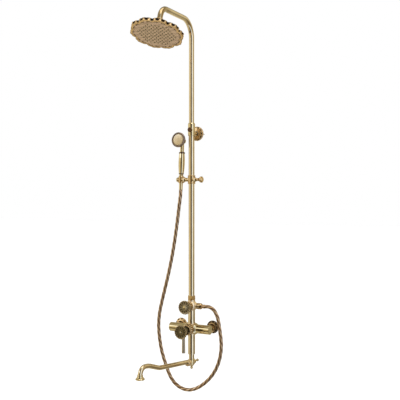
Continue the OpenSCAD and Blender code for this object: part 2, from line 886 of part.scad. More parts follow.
module slide_bush() {
    color("white") fixed() ring(14.2, riser_r + 0.1, holder_h - 15, holder_h + 15);
}

// Sleeve round the riser, with the clamp's boss on the right and the holder's arm on the left
module slider_body() {
    color("goldenrod") fixed() translate([0, 0, holder_h]) difference() {
        union() {
            turned([
                [0, -18], [15, -18], [16.2, -17], [16.2, -14], [15.2, -12], [15.2, 12],
                [16.2, 14], [16.2, 17], [15, 18], [0, 18]]);
            rightward() turned([[0, 8], [13, 8], [12, 15], [8.5, 19], [7.5, 22], [0, 22]]);
            leftward() turned([
                [0, 8], [11, 8], [10, 16], [8, 19], [8, 28], [9.5, 32], [12.5, 36],
                [12.5, 38], [0, 38]]);
            leftward() rod(5, 36, 40.5);
        }
        ring(14.3, 0, -16, 16);
        rod(riser_r + 0.2, -19, 19);
        rightward() rod(3, 10, 22 + cut);
    }
}

module slider_knob() {
    color("goldenrod") fixed() translate([0, 0, holder_h]) rightward() {
        rod(2.9, 14.5, 23);
        turned([
            [0, 22.3], [7, 22.3], [7, 24], [6.2, 26], [6.2, 33], [9, 38], [12.6, 43],
            [13.5, 46], [13, 49.5], [10, 52], [0, 52]]);
    }
}

// Socket that tilts on the slider's arm and takes the hose's conical nut
module holder_socket() {
    color("goldenrod") difference() {
        union() {
            fixed() translate([0, 0, holder_h]) leftward() rod(12.5, 38.3, 43);
            fixed() translate([0, 0, holder_h]) leftward() rod(9, 43, cap_at);
            hand_frame() turned([
                [0, -14], [10.6, -14], [11.8, -12], [11.8, 12], [10.8, 14], [0, 14]]);
        }
        hand_frame() translate([0, 0, -16])
            cylinder(r1 = mid_cone_r + free_gap, r2 = upper_cone_r + free_gap, h = 32);
        fixed() translate([0, 0, holder_h]) leftward() rod(5.1, 38, 42);
    }
}

module holder_cap() {
    color("peru") fixed() translate([0, 0, holder_h]) leftward() turned([
        [0, cap_at], [10, cap_at], [10, cap_at + 4.5], [8.5, cap_at + 7.5], [5, cap_at + 9],
        [0, cap_at + 9]]);
}

// ---------- hand shower ----------

// Conical nut of the hose, which the socket holds
module handset_nut() {
    color("peru") hand_frame() difference() {
        turned([
            [0, hand_nut_low], [lower_cone_r, hand_nut_low], [mid_cone_r, -cone_high - 2],
            [upper_cone_r, cone_high + 2], [9.8, cone_high + 2.5], [9.8, handle_foot + 1],
            [0, handle_foot + 1]]);
        rod(7 + seat_gap, 3, handle_foot + 1 + cut);
        rod(4.5, hand_nut_low - cut, 4);
    }
}

module handset_handle() {
    color("goldenrod") hand_frame() difference() {
        union() {
            rod(7, 5, 22);
            turned([
                [0, handle_foot + 1], [7.5, handle_foot + 1], [8, 22], [9, 23], [9, barrel_low],
                [10.5, barrel_low], [12, 40], [13.2, 58], [13.5, 74], [13, 92],
                [11.6, barrel_high], [8.4, barrel_high], [8.4, neck_low], [0, neck_low]]);
        }
        rod(4.5, 5 - cut, neck_low + cut);
    }
}

module handset_collars() {
    color("dimgray") hand_frame() {
        difference() {
            turned([[0, 23], [10, 23], [11.2, 24], [11.2, 26], [10.5, 27], [0, 27]]);
            rod(9 + seat_gap, 22, 28);
        }
        difference() {
            turned([
                [0, barrel_high], [12, barrel_high], [13, 112.5], [13, 116], [11, neck_low],
                [0, neck_low]]);
            rod(8.4 + seat_gap, barrel_high - cut, neck_low + cut);
        }
    }
}

// Frame of the hand shower's head: +Z forward out of its face, from the face's plane
module hand_head_frame() {
    hand_frame() translate([0, hand_head_y, hand_head_at]) rotate([90, 0, 0]) children();
}

// Short neck that runs up into the barrel behind the head's bell
module handset_head() {
    color("goldenrod") difference() {
        union() {
            hand_frame() rod(8.4, neck_low, hand_neck_top);
            hand_head_frame() turned([
                [0, -53.5], [7, -53], [11.5, -50.5], [13, -46], [12.5, -32], [13.5, -26],
                [18, -19], [25, -14], [28.5, -9], [28.5, -3], [26.5, -3], [26.5, -8],
                [23, -12.5], [16, -17.5], [10.5, -24], [8.5, -30], [8.5, -47], [0, -49]]);
        }
        hand_frame() rod(4.5, neck_low - cut, hand_neck_top + 4);
    }
}

module handset_ring() {
    color("gray") hand_head_frame() difference() {
        turned([
            [0, -8.5], [30, -8.5], [handset_r, -7], [handset_r, -2], [handset_r - 2, 0],
            [0, 0]]);
        rod(28.5 + seat_gap, -10, -3);
        rod(26, -4, cut);
    }
}

module handset_face() {
    color("wheat") hand_head_frame() difference() {
        rod(25.9, -3, -1);
        for (a = [0 : 30 : 330]) rotate([0, 0, a]) translate([20, 0, 0]) rod(0.8, -4, 0);
        for (a = [0 : 45 : 315]) rotate([0, 0, a]) translate([12, 0, 0]) rod(0.8, -4, 0);
    }
}

mixer_body();
bar_end_caps();
s_unions();
union_nuts();
washers();
wall_rosettes();
mixer_cartridge();
mixer_collar();
mixer_hub();
mixer_knob();
mixer_knob_cap();
mixer_lever();
riser_stub();
spout_stub();
spout_orings();
spout_elbow();
spout_collar();
spout_tube();
spout_bell();
spout_aerator();
spout_finials();
diverter_body();
diverter_cartridge();
diverter_collar();
diverter_spindle();
diverter_knob();
diverter_button();
outlet_nipple();
hose_nut();
hose_ferrule();
hose_loop();
hose_rise();
hose_top();
riser_nut();
riser_tube();
bracket_sleeve();
bracket_rod();
bracket_base();
bracket_screws();
bracket_rosette();
telescope_screw();
telescope_seal();
arm_tube();
swivel_ball();
ball_seal();
head_nut();
head_shell();
head_face();
head_nozzles();
slide_bush();
slider_body();
slider_knob();
holder_socket();
holder_cap();
handset_nut();
handset_handle();
handset_collars();
handset_head();
handset_ring();
handset_face();
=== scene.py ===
import json
import math

import bpy
import numpy as np
from mathutils import Matrix, Vector


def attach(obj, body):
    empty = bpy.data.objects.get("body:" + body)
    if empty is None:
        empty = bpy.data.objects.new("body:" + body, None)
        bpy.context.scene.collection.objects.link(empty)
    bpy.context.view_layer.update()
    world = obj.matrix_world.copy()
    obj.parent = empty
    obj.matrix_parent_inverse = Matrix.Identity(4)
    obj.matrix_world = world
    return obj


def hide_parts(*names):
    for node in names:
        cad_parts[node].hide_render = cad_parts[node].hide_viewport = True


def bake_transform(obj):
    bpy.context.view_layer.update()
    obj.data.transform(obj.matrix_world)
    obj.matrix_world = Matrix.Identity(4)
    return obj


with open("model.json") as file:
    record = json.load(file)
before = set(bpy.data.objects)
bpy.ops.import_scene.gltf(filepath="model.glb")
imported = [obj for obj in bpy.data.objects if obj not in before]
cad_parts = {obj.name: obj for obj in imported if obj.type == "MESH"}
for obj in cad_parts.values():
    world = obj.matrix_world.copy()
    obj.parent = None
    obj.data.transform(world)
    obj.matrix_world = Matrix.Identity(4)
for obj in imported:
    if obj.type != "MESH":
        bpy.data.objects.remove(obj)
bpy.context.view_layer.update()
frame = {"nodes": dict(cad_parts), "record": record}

# ---------------------------------------------------------------- frames

# The sub-parts' own frames, in millimetres as the CAD draws them. MM brings them to metres.
MM = Matrix.Diagonal((0.001, 0.001, 0.001, 1))
WALL_GAP, MIXER_DROP = 52, 4
MIXER = Matrix.Translation((0, -WALL_GAP, -MIXER_DROP))
DIVERTER_H = 96
REAR_BEND_R, FRONT_BEND_R, FRONT_BEND = 70, 50, math.radians(71)
ARM_RUN, CROWN_H, HEAD_TURN = 143, 1291, 161
BRACKET_H = 823
HOLDER_H, HOLDER_REACH, HANDSET_LEAN = 626, 50, 3.8


def shift(x, y, z):
    return Matrix.Translation((x, y, z))


def spin(degrees, axis):
    return Matrix.Rotation(math.radians(degrees), 4, axis)


FORWARD = spin(90, "X")
KNOB = MIXER @ FORWARD
DIVERTER = MIXER @ shift(0, 0, DIVERTER_H)
DIVERTER_KNOB = DIVERTER @ FORWARD
HEAD = (MIXER @ spin(-90, "Z")
        @ shift(REAR_BEND_R + ARM_RUN + FRONT_BEND_R * math.sin(FRONT_BEND), 0,
                CROWN_H - FRONT_BEND_R * (1 - math.cos(FRONT_BEND)))
        @ spin(HEAD_TURN, "Y"))
HAND = MIXER @ shift(-HOLDER_REACH, 0, HOLDER_H) @ spin(-HANDSET_LEAN, "X")
HAND_HEAD = HAND @ shift(0, -39, 166) @ FORWARD

# ---------------------------------------------------------------- camera

CAMERA_TURN = 27
camera_data = bpy.data.cameras.new("camera")
camera_data.lens = 62.1
camera_data.sensor_width = 36
camera_data.shift_y = -0.0125
camera_data.clip_end = 60
camera = bpy.data.objects.new("camera", camera_data)
camera.location = (1.3505, -2.6243, 0.5574)
camera.rotation_euler = (math.radians(90), 0, math.radians(CAMERA_TURN))
bpy.context.scene.collection.objects.link(camera)
bpy.context.scene.camera = camera

# ---------------------------------------------------------------- materials


class Nodes:
    """Short calls for building one material's node tree, in the object's own metres."""

    def __init__(self, name):
        self.material = bpy.data.materials.new(name)
        self.material.use_nodes = True
        self.tree = self.material.node_tree
        self.shader = self.tree.nodes["Principled BSDF"]
        coordinates = self.tree.nodes.new("ShaderNodeTexCoord")
        self.where = coordinates.outputs["Object"]

    def link(self, a, b):
        self.tree.links.new(a, b)

    def put(self, socket, value):
        if hasattr(value, "links"):
            self.link(value, socket)
        else:
            socket.default_value = value

    def noise(self, scale, detail=3.0, rough=0.5, stretch=(1, 1, 1)):
        mapping = self.tree.nodes.new("ShaderNodeMapping")
        mapping.inputs["Scale"].default_value = stretch
        self.link(self.where, mapping.inputs["Vector"])
        node = self.tree.nodes.new("ShaderNodeTexNoise")
        node.inputs["Scale"].default_value = scale
        node.inputs["Detail"].default_value = detail
        node.inputs["Roughness"].default_value = rough
        self.link(mapping.outputs[0], node.inputs["Vector"])
        return node.outputs["Fac"]

    def cells(self, scale, randomness=1.0):
        node = self.tree.nodes.new("ShaderNodeTexVoronoi")
        node.inputs["Scale"].default_value = scale
        node.inputs["Randomness"].default_value = randomness
        self.link(self.where, node.inputs["Vector"])
        return node.outputs["Distance"]

    def attribute(self, name):
        node = self.tree.nodes.new("ShaderNodeAttribute")
        node.attribute_name = name
        return node.outputs["Fac"]

    def spread(self, value, low, high, to_low=0.0, to_high=1.0):
        node = self.tree.nodes.new("ShaderNodeMapRange")
        node.inputs["From Min"].default_value = low
        node.inputs["From Max"].default_value = high
        node.inputs["To Min"].default_value = to_low
        node.inputs["To Max"].default_value = to_high
        self.link(value, node.inputs["Value"])
        return node.outputs["Result"]

    def near(self, centre, inner, outer):
        """1 within inner metres of a place on the object, falling to 0 at outer."""
        node = self.tree.nodes.new("ShaderNodeVectorMath")
        node.operation = "DISTANCE"
        self.link(self.where, node.inputs[0])
        node.inputs[1].default_value = centre
        return self.spread(node.outputs["Value"], inner, outer, 1.0, 0.0)

    def math(self, kind, a, b=0.0):
        node = self.tree.nodes.new("ShaderNodeMath")
        node.operation = kind
        self.put(node.inputs[0], a)
        self.put(node.inputs[1], b)
        return node.outputs[0]

    def mix(self, factor, a, b):
        node = self.tree.nodes.new("ShaderNodeMix")
        node.data_type = "RGBA"
        self.put(node.inputs[0], factor)
        self.put(node.inputs[6], a if hasattr(a, "links") else (*a, 1))
        self.put(node.inputs[7], b if hasattr(b, "links") else (*b, 1))
        return node.outputs[2]

    def bump(self, height, strength, distance):
        node = self.tree.nodes.new("ShaderNodeBump")
        node.inputs["Strength"].default_value = strength
        node.inputs["Distance"].default_value = distance
        self.link(height, node.inputs["Height"])
        self.link(node.outputs["Normal"], self.shader.inputs["Normal"])


def metal(name, light, deep, groove, rough=(0.14, 0.26), relief=0.06, brushed=(1, 1, 1),
          zones=()):
    """Antiqued metal: cloudy tone, fine brushing, and a dark patina wherever the mesh's groove
    attribute says so. A zone (centre, inner, outer, tone, roughness) is a place given another
    tone and extra roughness; some zones are painted highlight or painted shade."""
    m = Nodes(name)
    clouds = m.noise(38, 4, 0.6)
    fine = m.noise(900, 3, 0.6, brushed)
    tone = m.mix(m.spread(clouds, 0.3, 0.75), light, deep)
    specks = m.spread(m.noise(420, 2, 0.7), 0.66, 0.8)
    tone = m.mix(m.math("MULTIPLY", specks, 0.35), tone, groove)
    surface = m.spread(fine, 0.3, 0.7, *rough)
    for centre, inner, outer, zone_tone, zone_rough in zones:
        inside = m.near(centre, inner, outer)
        tone = m.mix(inside, tone, zone_tone)
        surface = m.math("ADD", surface, m.math("MULTIPLY", inside, zone_rough))
    dark = m.math("MINIMUM", m.math("ADD", m.attribute("groove"),
                                    m.math("MULTIPLY", m.attribute("groove"), clouds)), 1.0)
    m.link(m.mix(dark, tone, groove), m.shader.inputs["Base Color"])
    m.shader.inputs["Metallic"].default_value = 1.0
    dull = m.math("MULTIPLY", dark, 0.28)
    m.link(m.math("ADD", surface, dull), m.shader.inputs["Roughness"])
    m.bump(fine, relief, 0.0002)
    return m.material


def plate(name, light, deep, groove, rough, cell, depth):
    """Cast plate with a fine diamond relief."""
    m = Nodes(name)
    clouds = m.noise(30, 4, 0.6)
    grid = m.cells(cell, 0.0)
    pits = m.spread(grid, 0.25, 0.62)
    tone = m.mix(m.spread(clouds, 0.3, 0.7), light, deep)
    dark = m.math("MAXIMUM", m.math("MULTIPLY", pits, 0.5), m.attribute("groove"))
    m.link(m.mix(dark, tone, groove), m.shader.inputs["Base Color"])
    m.shader.inputs["Metallic"].default_value = 0.85
    m.link(m.spread(m.noise(600), 0.3, 0.7, *rough), m.shader.inputs["Roughness"])
    m.bump(m.math("SUBTRACT", 1.0, pits), depth, 0.0008)
    return m.material


def soft(name, light, deep, rough, scale=250):
    """Rubber or plastic with a fine grain."""
    m = Nodes(name)
    grain = m.noise(scale, 3, 0.6)
    m.link(m.mix(m.spread(grain, 0.3, 0.7), light, deep), m.shader.inputs["Base Color"])
    m.link(m.spread(grain, 0.3, 0.7, rough - 0.08, rough + 0.08), m.shader.inputs["Roughness"])
    m.bump(grain, 0.15, 0.0003)
    return m.material


def centre_of(place):
    """A frame's origin in metres."""
    return MM @ place.translation


GROOVE = (0.030, 0.018, 0.009)
finish = {
    # Round the diverter's ball and the mixer's middle the bar is made rougher and lighter; on the
    # ball the lighter tone is partly a painted highlight.
    "brass_bar": metal("brass_bar", (0.68, 0.54, 0.31), (0.56, 0.42, 0.21), GROOVE, (0.05, 0.11),
                       zones=[(centre_of(DIVERTER), 0.027, 0.032, (0.84, 0.66, 0.42), 0.36),
                              (centre_of(MIXER), 0.026, 0.032, (0.82, 0.63, 0.40), 0.34)]),
    # The brass_tube zone gives the arm's front bend a darker tone: painted shade that stands in for
    # the bend's dimmer reflection.
    "brass_tube": metal("brass_tube", (0.70, 0.56, 0.36), (0.60, 0.46, 0.27), GROOVE,
                        (0.1, 0.17), relief=0.04, brushed=(1, 1, 0.06),
                        zones=[((0, -0.305, 1.245), 0.045, 0.075, (0.36, 0.26, 0.13), 0.0)]),
    "brass_ornate": metal("brass_ornate", (0.82, 0.56, 0.28), (0.64, 0.41, 0.18), GROOVE,
                          (0.26, 0.38), 0.12),
    "brass_patina": metal("brass_patina", (0.24, 0.18, 0.085), (0.15, 0.11, 0.05),
                          (0.045, 0.032, 0.018), (0.28, 0.45), 0.2,
                          zones=[((0, -0.112, 0.092), 0.04, 0.05, (0.31, 0.235, 0.13), 0.0)]),
    "copper_nut": metal("copper_nut", (0.62, 0.43, 0.21), (0.50, 0.32, 0.14), GROOVE,
                        (0.12, 0.22)),
    "hose_bronze": metal("hose_bronze", (0.66, 0.44, 0.25), (0.50, 0.32, 0.17),
                         (0.12, 0.06, 0.03), (0.24, 0.38), 0.1,
                         zones=[((0, -0.15, -0.06), 0.10, 0.105, (0.42, 0.33, 0.22), 0.0)]),
    "screw_face": metal("screw_face", (0.13, 0.066, 0.03), (0.09, 0.045, 0.022), GROOVE,
                        (0.3, 0.45)),
    "handset_trim": metal("handset_trim", (0.22, 0.15, 0.105), (0.13, 0.09, 0.065),
                          (0.03, 0.022, 0.018), (0.22, 0.34)),
    "handset_plate": metal("handset_plate", (0.66, 0.52, 0.33), (0.54, 0.41, 0.25),
                           (0.10, 0.07, 0.035), (0.22, 0.32), 0.2),
    "spray_plate": plate("spray_plate", (0.80, 0.57, 0.40), (0.67, 0.47, 0.325),
                         (0.13, 0.08, 0.055), (0.36, 0.5), 138, 0.5),
    "rubber": soft("rubber", (0.05, 0.042, 0.035), (0.025, 0.021, 0.018), 0.55),
    "plastic": soft("plastic", (0.80, 0.79, 0.76), (0.70, 0.69, 0.66), 0.4),
    "steel": metal("steel", (0.62, 0.60, 0.57), (0.50, 0.48, 0.45), (0.08, 0.07, 0.06),
                   (0.2, 0.32)),
}
slot_of = {s["node"]: s["material_slot"] for s in frame["record"]["subparts"]}
for node, obj in frame["nodes"].items():
    obj.data.materials.clear()
    obj.data.materials.append(finish[slot_of[node]])

# ---------------------------------------------------------------- mesh building


def piece(name, body, slot, points, faces, grooves=None, place=MM, replaces=(), crease=35):
    """One mesh in millimetres of its frame, riding on a body, with its finish."""
    mesh = bpy.data.meshes.new(name)
    mesh.from_pydata([tuple(map(float, p)) for p in points], [], faces)
    mesh.transform(place)
    mesh.validate()
    if grooves is not None:
        values = mesh.attributes.new("groove", "FLOAT", "POINT")
        values.data.foreach_set("value", np.asarray(grooves, np.float32))
    mesh.shade_smooth()
    mesh.set_sharp_from_angle(angle=math.radians(crease))
    mesh.materials.append(finish[slot])
    obj = bpy.data.objects.new(name, mesh)
    bpy.context.scene.collection.objects.link(obj)
    if replaces:
        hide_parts(*replaces)
    if body:
        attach(obj, body)
    return obj


def skin(rows, around):
    """Quads over a grid of rows x around points that closes on itself around."""
    out = []
    for i in range(0, (rows - 1) * around, around):
        j = i + around
        for k in range(around):
            m = (k + 1) % around
            out.append((i + k, i + m, j + m, j + k))
    return out


def end_caps(rows, around):
    """The faces that close the first and the last row of such a grid."""
    return (tuple(range(around)),
            tuple((rows - 1) * around + k for k in range(around - 1, -1, -1)))


def rounded(outline, r=0.5, steps=2):
    """The outline's corners cut to small arcs."""
    out = [outline[0]]
    for a, b, c in zip(outline, outline[1:], outline[2:]):
        a, b, c = Vector(a), Vector(b), Vector(c)
        u, v = a - b, c - b
        cut = min(r, u.length * 0.4, v.length * 0.4)
        p, q = b + u.normalized() * cut, b + v.normalized() * cut
        for k in range(steps + 1):
            t = k / steps
            out.append(tuple(p * (1 - t) ** 2 + b * 2 * t * (1 - t) + q * t * t))
    out.append(outline[-1])
    return out


def turned(outline, around=64, shape=None, r=0.5, steps=2, fine=None):
    """Points, faces and grooves of a turned piece. shape(angle, radius, height) gives a
    changed radius and height and how deep in a groove the point is."""
    line = rounded(outline, r, steps)
    if fine:
        dense = [line[0]]
        for a, b in zip(line, line[1:]):
            n = max(1, int(math.dist(a, b) / fine))
            dense += [tuple(Vector(a).lerp(Vector(b), (k + 1) / n)) for k in range(n)]
        line = dense
    points, grooves = [], []
    for radius, height in line:
        for k in range(around):
            angle = 2 * math.pi * k / around
            rr, hh, g = shape(angle, radius, height) if shape else (radius, height, 0.0)
            points.append((rr * math.cos(angle), rr * math.sin(angle), hh))
            grooves.append(g)
    faces = skin(len(line), around)
    for end, cap in zip((outline[0], outline[-1]), end_caps(len(line), around)):
        if end[0] > 0.01:
            faces.append(cap)
    return points, faces, grooves


def joined(*parts):
    """Several (points, faces, grooves) as one."""
    points, faces, grooves = [], [], []
    for p, f, g in parts:
        faces += [tuple(i + len(points) for i in face) for face in f]
        points += list(p)
        grooves += list(g)
    return points, faces, grooves


def moved(part, matrix):
    """The same part, carried by the matrix."""
    points, faces, grooves = part
    return [tuple(matrix @ Vector(p)) for p in points], faces, grooves


def pulse(x, low, high, soft_edge):
    """1 between low and high, falling to 0 over soft_edge on both sides."""
    rise = min(max((x - low) / soft_edge + 1, 0), 1)
    fall = min(max((high - x) / soft_edge + 1, 0), 1)
    share = rise * fall
    return share * share * (3 - 2 * share)


def lobed_wave(angle, count, power=1.0):
    """0 on a lobe's crest and 1 in the notch between two."""
    return 1 - abs(math.cos(angle * count / 2)) ** power


# ---------------------------------------------------------------- hose

# The route the CAD sweeps, from the diverter's outlet to the hand shower, in the mixer's frame.
HOSE_ROUTE = [
    (63, 0, 96), (80, 0, 96), (97, 0, 90), (110, 0, 77), (119, 0, 60), (125, 0, 41),
    (131, 0, 6), (136, 0, -28), (138, 0, -54), (137, 0, -80), (133, 0, -105),
    (126, 0, -130), (116, 0, -154), (103, 0, -177), (87, 0, -198), (66, 0, -219),
    (39, 0, -240), (12, 0, -254), (-17, 0, -261), (-46, 0, -258), (-72, 0, -246),
    (-92, 0, -228), (-108, 0, -204), (-122, 0, -172), (-135, 0, -139), (-146, 0, -105),
    (-154, 0, -66), (-159, 0, -26), (-160, 0, 12), (-155, 0, 57), (-145, 0, 100),
    (-131, 0, 152), (-112, 0, 223), (-94, 0, 300), (-79, -1, 378), (-66, -3, 455),
    (-57, -5, 514), (-51, -5, 556), (-50, -3, 584)]
HOSE_BOTTOM = 18  # the route's lowest point
HOSE_R = 7.5
RIB_STARTS = 3
RIB_LEAD = 84.0
RIB_DEPTH = 0.7
RIB_DARK = 0.62


def smooth_line(route, step=1.5, cuts=24):
    """Points a step apart on the curve through the route, how far along each one is, and how
    far along the route's own points are."""
    p = [Vector(q) for q in route]
    dense, marks = [], []
    for i in range(len(p) - 1):
        a, b, c, d = p[max(i - 1, 0)], p[i], p[i + 1], p[min(i + 2, len(p) - 1)]
        marks.append(len(dense))
        for k in range(cuts):
            t = k / cuts
            dense.append(0.5 * (2 * b + (c - a) * t + (2 * a - 5 * b + 4 * c - d) * t * t
                                + (3 * b - a - 3 * c + d) * t ** 3))
    marks.append(len(dense))
    dense.append(p[-1])
    x = np.array(dense)
    run = np.concatenate([[0], np.cumsum(np.linalg.norm(np.diff(x, axis=0), axis=1))])
    n = int(round(run[-1] / step))
    at = np.linspace(0, run[-1], n + 1)
    line = np.stack([np.interp(at, run, x[:, k]) for k in range(3)], 1)
    return line, at, [run[m] for m in marks]


hose_line, hose_at, hose_marks = smooth_line(HOSE_ROUTE)
hose_length = hose_at[-1]


def hose_piece(name, start, end, body, replaces, blend=None):
    """The hose between two lengths along it, as a tube with spiral ribs. It rides on a body,
    or, when given a blend, is baked where it lies and rides on none."""
    around = 28
    first = int(np.argmin(abs(hose_at - start)))
    last = int(np.argmin(abs(hose_at - end)))
    points, grooves = [], []
    for i in range(first, last + 1):
        ahead = hose_line[min(i + 1, len(hose_line) - 1)] - hose_line[max(i - 1, 0)]
        ahead /= np.linalg.norm(ahead)
        side = np.cross(ahead, (0, 1, 0))
        side /= np.linalg.norm(side)
        over = np.cross(side, ahead)
        for k in range(around):
            angle = 2 * math.pi * k / around
            wave = 0.5 + 0.5 * math.cos(RIB_STARTS * (angle - 2 * math.pi * hose_at[i] / RIB_LEAD))
            groove = wave ** 1.5
            radius = HOSE_R - RIB_DEPTH * groove
            points.append(hose_line[i] + radius * (math.cos(angle) * side + math.sin(angle) * over))
            grooves.append(RIB_DARK * groove)
    rows = last - first + 1
    faces = [*skin(rows, around), *end_caps(rows, around)]
    obj = piece(name, body, "hose_bronze", points, faces, grooves, MM @ MIXER, replaces,
                crease=60)
    if blend:
        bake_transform(obj)


# One piece to the lowest point, then one for each joint between the column and the hand shower.
hose_low = hose_marks[HOSE_BOTTOM]
to_slider, to_holder, to_handset = (hose_length - left for left in (300, 200, 100))
hose_piece("hose_from_outlet", 0, hose_low, "column", ("hose_loop",))
hose_piece("hose_up", hose_low, to_slider, None, ("hose_rise",), ("column", "rail_bush"))
hose_piece("hose_below_slider", to_slider, to_holder, None, ("hose_rise", "hose_top"),
           ("rail_bush", "slider"))
hose_piece("hose_below_holder", to_holder, to_handset, None, ("hose_top",),
           ("slider", "holder"))
hose_piece("hose_to_handset", to_handset, hose_length, None, ("hose_top",),
           ("holder", "handset"))

# ---------------------------------------------------------------- wall roses


def petal_rose(rim, hole, tall, petals, patina=0.0):
    """Domed rose: a scalloped rim, deep gaps between its petals and a smooth middle. The
    patina darkens everything outside the middle."""
    def shape(angle, radius, height):
        if height < 0.5 and radius > rim - 3:
            return radius - 1.2 * lobed_wave(angle, petals * 2), height, 0.0
        share = radius / rim
        notch = lobed_wave(angle, petals * 2, 0.8)
        edge = pulse(share, 0.93, 1.1, 0.05)
        gap = pulse(share, 0.79, 0.89, 0.04) * max(0, math.cos(angle * petals)) ** 0.8
        swell = pulse(share, 0.76, 0.92, 0.08) * (0.5 - 0.5 * math.cos(angle * petals))
        return (radius - 1.2 * notch * edge,
                height - 3.0 * gap + 0.25 * swell,
                min(1, 1.5 * gap + 0.35 * notch * edge + patina * pulse(share, 0.7, 1.1, 0.15)))
    outline = [
        (rim - 2.2, 0), (rim, 0), (rim, 3), (rim - 0.6, 5), (rim - 2.4, tall - 5.4),
        (rim - 6, tall - 3.6), (rim - 10.5, tall - 2.4), (hole + 3, tall - 0.9),
        (hole + 0.4, tall - 0.4), (hole, tall - 1), (hole, tall - 2.6), (rim - 12, tall - 5),
        (rim - 5, tall - 7.5), (rim - 2.2, 3), (rim - 2.2, 0)]
    return turned(outline, 240, shape, 1.0, 3, fine=0.8)


piece("wall_roses", "column", "brass_ornate",
      *joined(*[moved(petal_rose(27.5, 14.45, 12.5, 9, patina),
                      shift(x, WALL_GAP, MIXER_DROP) @ FORWARD)
                for x, patina in ((-75, 0.0), (75, 0.45))]),
      place=MM @ MIXER, replaces=("wall_rosettes",))
piece("bracket_rose", "column", "brass_ornate",
      *moved(petal_rose(31, 11.05, 13, 10), shift(0, WALL_GAP, BRACKET_H) @ FORWARD),
      place=MM @ MIXER, replaces=("bracket_rosette",))

# ---------------------------------------------------------------- control rosettes and their collars


CONTROL_R = 29
BEADS = 22


def control_rosette(back, front, ringed):
    """Disc with a rim notched between its beads and an engraved face."""
    def shape(angle, radius, height):
        share = radius / CONTROL_R
        notch = lobed_wave(angle, BEADS, 0.7)
        rim = pulse(share, 0.9, 1.1, 0.05)
        wall = 1.0 if share > 0.97 else 0.0
        groove, lift = 0.0, 0.0
        on_face = height > front - 2.6
        if on_face and share < 0.9:
            petals = 0.5 + 0.5 * math.cos(angle * 12)
            veins = pulse(share, 0.52, 0.74, 0.06) * petals ** 3
            line = pulse(share, 0.84, 0.855, 0.02) + pulse(share, 0.455, 0.47, 0.02)
            lift = -0.5 * veins - 0.5 * min(line, 1)
            groove = min(1, 0.75 * veins + min(line, 1))
            if ringed:
                lift += 0.9 * pulse(share, 0.42, 0.5, 0.03)
        return (radius - 1.5 * notch * rim, height + lift - 0.7 * notch * rim * on_face,
                min(1, groove + notch ** 0.7 * rim * (0.9 + 0.1 * wall)))
    outline = [
        (0.001, back), (25, back), (27.6, back + 0.6), (CONTROL_R, back + 2),
        (CONTROL_R, front - 2.2),
        (28.2, front - 0.8), (26.6, front), (24.6, front - 0.4), (23.6, front - 1.3),
        (22.2, front - 1.7), (0.001, front - 1.5)]
    return turned(outline, 288, shape, 0.6, 2, fine=0.8)


def rim_beads(height, radius=26.2, size=2.1, squash=0.8):
    """A ring of small flattened balls standing on a control's rim."""
    ball = turned([(size * math.sin(math.pi * t / 6) + 0.001,
                    -size * squash * math.cos(math.pi * t / 6)) for t in range(7)],
                  10, None, 0.01, 1)
    parts = []
    for k in range(BEADS):
        angle = 2 * math.pi * (k + 0.5) / BEADS
        parts.append(moved(ball, shift(radius * math.cos(angle), radius * math.sin(angle), height)))
    return joined(*parts)


def control_stem():
    """The mixer control's neck, with a fluted bulge and a dark line before the rosette."""
    def shape(angle, radius, height):
        notch = lobed_wave(angle, 18, 0.8) * pulse(height, 60, 67, 1.5)
        return radius - 0.9 * notch, height, 0.8 * notch + 0.5 * pulse(height, 69.5, 71, 1)
    outline = [
        (6.6, 44), (12.4, 44.5), (13.2, 48), (12.6, 53), (11, 57), (12.4, 59), (15, 61),
        (15, 66), (12.2, 69), (11.6, 73), (12, 80), (13, 86), (15, 90), (16, 92.5), (0.001, 93)]
    return turned(outline, 72, shape)


def mixer_boss():
    """The button in the middle of the mixer's rosette, with a scalloped edge."""
    def shape(angle, radius, height):
        notch = lobed_wave(angle, 8) * pulse(height, 96, 98, 0.6)
        return radius - 0.5 * notch, height, 0.8 * notch + 0.9 * pulse(height, 98.1, 98.3, 0.3)
    outline = [
        (0.001, 96.5), (6.4, 96.5), (6.4, 97.6), (5.2, 98.3), (4.2, 98.2), (3.6, 98.9),
        (2.2, 99.7), (0.001, 100)]
    return turned(outline, 48, shape, 0.3)


piece("mixer_rosette", "mixer_control", "brass_patina",
      *joined(control_rosette(92, 98, False), control_stem()), place=MM @ KNOB,
      replaces=("mixer_knob",))
piece("mixer_rosette_beads", "mixer_control", "brass_ornate",
      *rim_beads(97.0), place=MM @ KNOB)
piece("mixer_boss", "mixer_control", "brass_bar", *mixer_boss(), place=MM @ KNOB,
      replaces=("mixer_knob_cap",))
piece("diverter_rosette", "diverter", "brass_patina",
      *joined(control_rosette(58, 64, True),
              turned([(4.1, 51), (10, 51.2), (10, 55), (11.5, 57), (14, 59), (0.001, 59)], 72),
              turned([(11.6, 62), (14, 62.6), (13.8, 64), (12.8, 64.5), (11.9, 64), (11.6, 62)],
                     72, None, 0.3)),
      place=MM @ DIVERTER_KNOB, replaces=("diverter_knob",))
piece("diverter_rosette_beads", "diverter", "brass_ornate",
      *rim_beads(63.0), place=MM @ DIVERTER_KNOB)
piece("diverter_boss", "diverter", "brass_bar",
      *turned([(0.001, 62.5), (9, 62.5), (9, 63.8), (7.4, 65.2), (5.6, 65.3), (4.8, 65.7),
               (2.6, 66), (0.001, 66)], 48,
              lambda a, r, h: (r, h - 0.5 * pulse(r, 5.2, 5.5, 0.5),
                               0.9 * pulse(r, 5.2, 5.5, 0.4)), 0.4),
      place=MM @ DIVERTER_KNOB, replaces=("diverter_button",))


def leafy_collar(outline, flutes, low, high, depth):
    """Turned collar with rounded flutes and dark gaps between them."""
    def shape(angle, radius, height):
        band = pulse(height, low, high, 1.2)
        notch = lobed_wave(angle, flutes, 0.75) * band
        outer = 1 if radius > 13 else 0
        return radius - depth * notch * outer, height, min(1, 1.15 * notch * outer)
    return turned(outline, 288, shape, 0.7, 2, fine=0.9)


